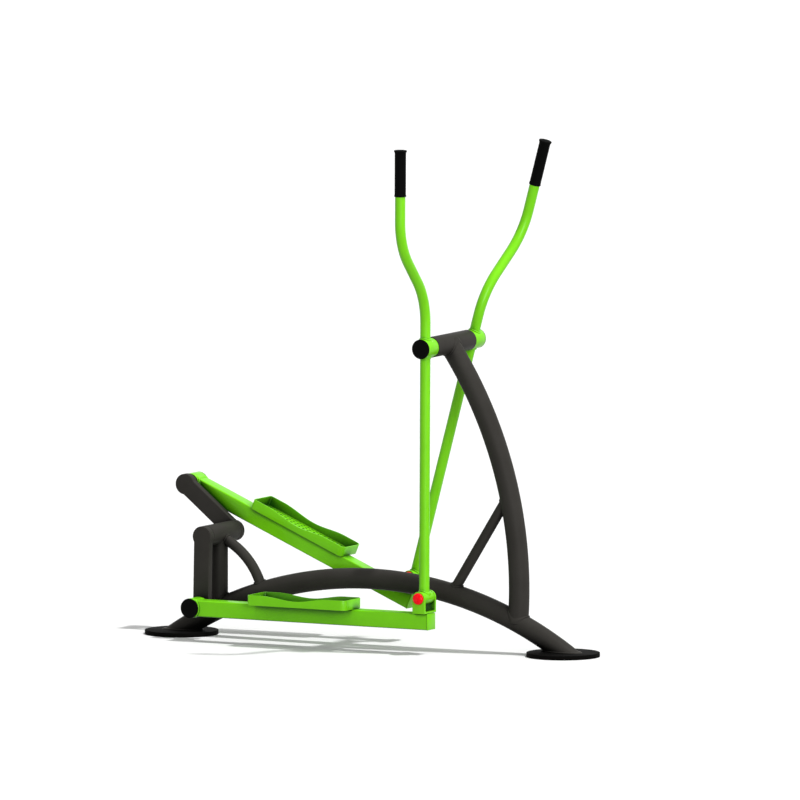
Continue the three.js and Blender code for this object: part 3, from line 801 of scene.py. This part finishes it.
def build_bolt_caps(side):
    sign, bolt = SIDES[side], joint_at[f"{side}_beam_tilt"]
    ear = CLEVIS_WIDTH / 2 + GAP
    for name, way in (("outer", 1), ("inner", -1)):
        cap = red_cap(sign * (plane + way * ear), sign * way, bolt.x, bolt.z)
        finished(cap, f"{side}_{name}_bolt_cap", f"{side}_bolt_set", "red_plastic",
                 f"{side}_{name}_red_cap")


# One pedal beam, drawn level and forwards from its crank pin

def box_tube(side, margin=0, wall=0):
    """The beam's box section, its corners rounded, with a bore if it has a wall."""
    size = BEAM_SECTION + 2 * margin
    end = BEAM_LENGTH - END_PLATE - GAP
    y = SIDES[side] * plane
    bpy.ops.mesh.primitive_plane_add(size=size, location=(0, 0, 0), rotation=(0, math.pi / 2, 0))
    piece = settle(bpy.context.object)
    bpy.ops.object.mode_set(mode="EDIT")
    bpy.ops.mesh.select_all(action="SELECT")
    bpy.ops.mesh.bevel(
        offset=BEAM_CORNER + margin, segments=BEAM_CORNER_STEPS, affect="VERTICES", profile=0.5,
    )
    bpy.ops.mesh.select_all(action="SELECT")
    run_straight((end, 0, 0))
    bpy.ops.mesh.select_all(action="SELECT")
    bpy.ops.mesh.normals_make_consistent(inside=False)
    bpy.ops.object.mode_set(mode="OBJECT")
    piece.matrix_world = Matrix.Translation((0, y, 0)) @ piece.matrix_world
    settle(piece)
    if wall:
        inner = BEAM_SECTION / 2 - wall
        bore = block((-BEAM_LENGTH, y - inner, -inner), (2 * BEAM_LENGTH, y + inner, inner))
        cut(piece, soften(bore, wall / 2, 3))
    return piece


def clevis_outline(margin=0):
    """The bracket's side: a straight foot on the beam and a round top about the bolt."""
    half, foot = CLEVIS_EAR / 2 + margin, BEAM_SECTION / 2 + GAP - margin
    points = [(BOLT_AHEAD - half, 0, foot), (BOLT_AHEAD + half, 0, foot)]
    return points + arc_points(BOLT_AHEAD, BOLT_RISE, half, 0, math.pi, CLEVIS_EAR_STEPS)


def clevis(side):
    """A U-shaped bracket: a base across the beam and two ears."""
    y = SIDES[side] * plane
    half, between = CLEVIS_WIDTH / 2, CLEVIS_WIDTH / 2 - CLEVIS_PLATE
    piece = plate_of([(px, y - half, pz) for px, _, pz in clevis_outline()], (0, CLEVIS_WIDTH, 0))
    base = BEAM_SECTION / 2 + GAP + CLEVIS_BASE
    slot = block((BOLT_AHEAD - CLEVIS_EAR, y - between, base),
                 (BOLT_AHEAD + CLEVIS_EAR, y + between, 2 * BOLT_RISE))
    shaped(slot, "BEVEL", width=CLEVIS_SLOT_CORNER, segments=4, limit_method="ANGLE")
    hole = cross_rod(BOLT_BORE, y - CLEVIS_WIDTH, y + CLEVIS_WIDTH,
                     BOLT_AHEAD, BOLT_RISE, SLIM_ROUND)
    return soften(cut(piece, slot, hole), BRACKET_EDGE, 3)


def clevis_block(side):
    """The bracket's foot as a plain solid, for its weld."""
    y, foot = SIDES[side] * plane, BEAM_SECTION / 2 + GAP

    def grown(margin=0):
        half = CLEVIS_EAR / 2 + margin
        side_half = BEAM_SECTION / 2 - BEAM_CORNER
        return block((BOLT_AHEAD - half, y - side_half, foot - margin),
                     (BOLT_AHEAD + half, y + side_half, foot + CLEVIS_BASE + margin))

    return grown


def tray_plan(centre_y, inset, height):
    """The tray's plan with its corners rounded, as points at a height."""
    front, rear = TRAY_FRONT_CORNER - inset, TRAY_REAR_CORNER - inset
    x0, x1 = TRAY_START + inset, TRAY_START + TRAY_LENGTH - inset
    y0, y1 = centre_y - TRAY_WIDTH / 2 + inset, centre_y + TRAY_WIDTH / 2 - inset
    enclosure = [(x1 - front, y0 + front, front, -90), (x1 - front, y1 - front, front, 0),
               (x0 + rear, y1 - rear, rear, 90), (x0 + rear, y0 + rear, rear, 180)]
    points = []
    for x, y, radius, start in enclosure:
        for step in range(TRAY_CORNER_STEPS + 1):
            angle = math.radians(start + 90 * step / TRAY_CORNER_STEPS)
            points.append((x + radius * math.cos(angle), y + radius * math.sin(angle), height))
    return points


def tray_wave(share):
    """Height of the side walls along the tray: high at heel and toe, low between."""
    def ease(part):
        return (1 - math.cos(math.pi * min(max(part, 0), 1))) / 2

    fall = ease((share - TRAY_REAR_CREST_SHARE) / (TRAY_DIP_SHARE - TRAY_REAR_CREST_SHARE))
    rise = ease((share - TRAY_DIP_SHARE) / (TRAY_FRONT_CREST_SHARE - TRAY_DIP_SHARE))
    return TRAY_HEIGHT + (TRAY_DIP - TRAY_HEIGHT) * (fall - rise)


def tray(side):
    """A footplate with a floor and four thin walls, whose rim waves along both sides."""
    floor = BEAM_SECTION / 2 + GAP
    centre_y = SIDES[side] * (plane + TRAY_SHIFT)
    piece = plate_of(tray_plan(centre_y, 0, floor), (0, 0, TRAY_HEIGHT))
    inside = plate_of(tray_plan(centre_y, TRAY_WALL, floor + TRAY_FLOOR), (0, 0, TRAY_HEIGHT))
    y = centre_y - TRAY_WIDTH
    ceiling = floor + 2 * TRAY_HEIGHT
    past = WAVE_PAST / WAVE_STEPS
    points = [(TRAY_START + TRAY_LENGTH * (1 + past), y, ceiling),
              (TRAY_START - TRAY_LENGTH * past, y, ceiling)]
    for step in range(-WAVE_PAST, WAVE_STEPS + WAVE_PAST + 1):
        share = step / WAVE_STEPS
        points.append((TRAY_START + TRAY_LENGTH * share, y, floor + tray_wave(share)))
    wave = plate_of(points, (0, 2 * TRAY_WIDTH, 0))
    soften(cut(piece, inside, wave), TRAY_EDGE, 3, 25)
    through = straight_bar((0, 0, -2 * TRAY_FLOOR), (0, 0, TRAY_FLOOR), HOLE, HOLE_ROUND)
    return cut(piece, in_hole_rows(through, side))


def in_hole_rows(piece, side):
    """Copies a piece over the tray floor, from one hole's place to all of them."""
    centre_y = SIDES[side] * (plane + TRAY_SHIFT)
    count = int((TRAY_LENGTH - 2 * TRAY_FRONT_CORNER) / HOLE_PITCH) + 1
    start_x = TRAY_START + (TRAY_LENGTH - (count - 1) * HOLE_PITCH) / 2
    start_y = centre_y - (HOLE_ROWS - 1) * HOLE_PITCH / 2
    floor_top = BEAM_SECTION / 2 + GAP + TRAY_FLOOR
    piece.matrix_world = Matrix.Translation((start_x, start_y, floor_top)) @ piece.matrix_world
    settle(piece)
    shaped(piece, "ARRAY", count=count, use_relative_offset=False, use_constant_offset=True,
           constant_offset_displace=(HOLE_PITCH, 0, 0))
    return shaped(piece, "ARRAY", count=HOLE_ROWS, use_relative_offset=False, use_constant_offset=True,
                  constant_offset_displace=(0, HOLE_PITCH, 0))


def tray_rims(side):
    """The raised anti-slip rims round the punched holes: one is shaped, the rest are copies."""
    radius, height = HOLE / 2, HOLE_RIM_HEIGHT
    rows = [(radius, -height / 2), (radius, height * 0.8), (radius + HOLE_RIM / 3, height),
            (radius + HOLE_RIM, 0), (radius + HOLE_RIM, -height / 2), (radius, -height / 2)]
    rim = turned(rows, sides=HOLE_ROUND)
    rim.matrix_world = Matrix.Rotation(math.pi / 2, 4, "X")
    return in_hole_rows(settle(rim), side)


def build_pedal_beam(side):
    sign, body, green = SIDES[side], f"{side}_pedal_beam", "green_paint"
    pin, bolt = pins[side], joint_at[f"{side}_beam_tilt"]
    turn = math.atan2(BOLT_RISE, BOLT_AHEAD) - math.atan2(bolt.z - pin.z, bolt.x - pin.x)
    place = Vector((pin.x, 0, pin.z))
    y = sign * plane

    def done(piece, name, slot, *nodes, smooth=30):
        return finished(turn_into_place(piece, turn, place), name, body, slot, *nodes, smooth=smooth)

    def rear_bar(margin=0):
        return cross_rod(REAR_SLEEVE + 2 * margin, sign * sleeve_inner, sign * sleeve_end)

    def beam_bar(margin=0):
        return box_tube(side, margin)

    done(cut(box_tube(side, 0, BEAM_WALL), rear_bar(GAP)), f"{side}_beam", green, f"{side}_beam_tube")
    end = block((BEAM_LENGTH - END_PLATE, y - BEAM_SECTION / 2, -BEAM_SECTION / 2),
                (BEAM_LENGTH, y + BEAM_SECTION / 2, BEAM_SECTION / 2))
    done(soften(end, BRACKET_EDGE, 3), f"{side}_end_plate", green, f"{side}_beam_end_plate")
    done(soften(sleeve(REAR_SLEEVE, HOUSING_BORE, sign * sleeve_inner, sign * sleeve_end)),
         f"{side}_rear_hub", green, f"{side}_rear_sleeve")
    done(clevis(side), f"{side}_clevis", green, f"{side}_clevis_bracket")
    done(tray(side), f"{side}_tray", green, f"{side}_footplate_tray")
    done(tray_rims(side), f"{side}_tray_rims", green, smooth=60)
    pin_end = sleeve_end - CAP_THICKNESS - 2 * GAP
    rows = [(0, arm_outer + GAP), (COLLAR / 2, arm_outer + GAP), (COLLAR / 2, sleeve_inner - GAP),
            (SHAFT / 2, sleeve_inner - GAP), (SHAFT / 2, pin_end), (0, pin_end)]
    done(soften(turned([(r, sign * along) for r, along in rows])),
         f"{side}_pin", "bright_steel", f"{side}_crank_pin")
    done(end_cap(sign, REAR_SLEEVE, 0, 0), f"{side}_pin_end_cap", "black_plastic", f"{side}_pin_cap")
    beads = joined([weld(rear_bar, beam_bar), weld(clevis_block(side), beam_bar)])
    done(beads, f"{side}_beam_welds", green, smooth=60)


def paint_what_stays():
    """The inner parts keep their own meshes and take their finishes."""
    for node in frame["nodes"].values():
        for holder in node.material_slots:
            holder.material = finishes[holder.material.name]


# The stage: white floor and backdrop, a high sun from ahead and soft light all round

def background_rays(nodes, links):
    """1 for rays that show the background: from the camera, in reflections and through glass."""
    path = nodes.new("ShaderNodeLightPath")
    seen = nodes.new("ShaderNodeMath")
    seen.operation = "MAXIMUM"
    links.new(path.outputs["Is Camera Ray"], seen.inputs[0])
    links.new(path.outputs["Is Glossy Ray"], seen.inputs[1])
    every = nodes.new("ShaderNodeMath")
    every.operation = "MAXIMUM"
    links.new(seen.outputs[0], every.inputs[0])
    links.new(path.outputs["Is Transmission Ray"], every.inputs[1])
    return every.outputs[0]


def build_floor():
    bpy.ops.mesh.primitive_plane_add(size=FLOOR_SIZE, location=(0, 0, 0))
    floor = bpy.context.object
    floor.name = "studio_floor"
    material = bpy.data.materials.new("white_floor")
    material.use_nodes = True
    nodes, links = material.node_tree.nodes, material.node_tree.links
    matt = nodes["Principled BSDF"]
    matt.inputs["Roughness"].default_value = 1
    matt.inputs["Specular IOR Level"].default_value = 0
    shade = nodes.new("ShaderNodeMix")
    shade.data_type = "RGBA"
    links.new(background_rays(nodes, links), shade.inputs["Factor"])
    shade.inputs["A"].default_value = (FLOOR_BOUNCE, FLOOR_BOUNCE, FLOOR_BOUNCE, 1)
    shade.inputs["B"].default_value = (FLOOR_WHITE, FLOOR_WHITE, FLOOR_WHITE, 1)
    links.new(shade.outputs["Result"], matt.inputs["Base Color"])
    floor.data.materials.append(material)


def build_backdrop():
    world = bpy.data.worlds.new("white_backdrop")
    scene.world = world
    world.use_nodes = True
    nodes, links = world.node_tree.nodes, world.node_tree.links
    backdrop = nodes["Background"]
    backdrop.inputs["Color"].default_value = (1, 1, 1, 1)
    places = nodes.new("ShaderNodeTexCoord")
    side_light = nodes.new("ShaderNodeVectorMath")
    side_light.operation = "DOT_PRODUCT"
    side_light.inputs[1].default_value = (SKY_RIGHT, SKY_BEHIND, 0)
    links.new(places.outputs["Generated"], side_light.inputs[0])
    sky = nodes.new("ShaderNodeMath")
    sky.operation = "ADD"
    sky.inputs[1].default_value = SKY_STRENGTH
    links.new(side_light.outputs["Value"], sky.inputs[0])
    strength = nodes.new("ShaderNodeMapRange")
    strength.inputs["To Max"].default_value = 1
    links.new(background_rays(nodes, links), strength.inputs["Value"])
    links.new(sky.outputs[0], strength.inputs["To Min"])
    links.new(strength.outputs["Result"], backdrop.inputs["Strength"])


def build_lamp(name, strength, width, from_way):
    """A lamp so far off that its light is parallel, softened by its apparent width in degrees."""
    lamp = bpy.data.lights.new(name, "SUN")
    lamp.energy = strength
    lamp.angle = math.radians(width)
    holder = bpy.data.objects.new(name, lamp)
    scene.collection.objects.link(holder)
    holder.rotation_euler = Vector(from_way).to_track_quat("Z", "Y").to_euler()


def build_camera():
    """A long-lens view from the right and a little above, taken as parallel."""
    a, e = math.radians(CAMERA_AZIMUTH), math.radians(CAMERA_ELEVATION)
    across = Vector((math.cos(a), math.sin(a), 0))
    upward = Vector((-math.sin(a) * math.sin(e), math.cos(a) * math.sin(e), math.cos(e)))
    back = Vector((math.sin(a) * math.cos(e), -math.cos(a) * math.cos(e), math.sin(e)))
    data = bpy.data.cameras.new("camera")
    data.type = "ORTHO"
    data.ortho_scale = CAMERA_WIDTH
    data.clip_end = 100
    camera = bpy.data.objects.new("camera", data)
    scene.collection.objects.link(camera)
    camera.location = across * CAMERA_ACROSS + upward * CAMERA_UP + back * CAMERA_BACK
    camera.rotation_euler = (-back).to_track_quat("-Z", "Y").to_euler()
    scene.camera = camera


scene.view_settings.view_transform = "Standard"
build_camera()
build_frame()
build_crankset()
for side in SIDES:
    build_lever(side)
    build_bolt_caps(side)
    build_pedal_beam(side)
paint_what_stays()
build_floor()
build_backdrop()
build_lamp("high_sun", SUN_STRENGTH, SUN_WIDTH, SUN_FROM)
build_lamp("front_softbox", FRONT_STRENGTH, FRONT_WIDTH, FRONT_FROM)
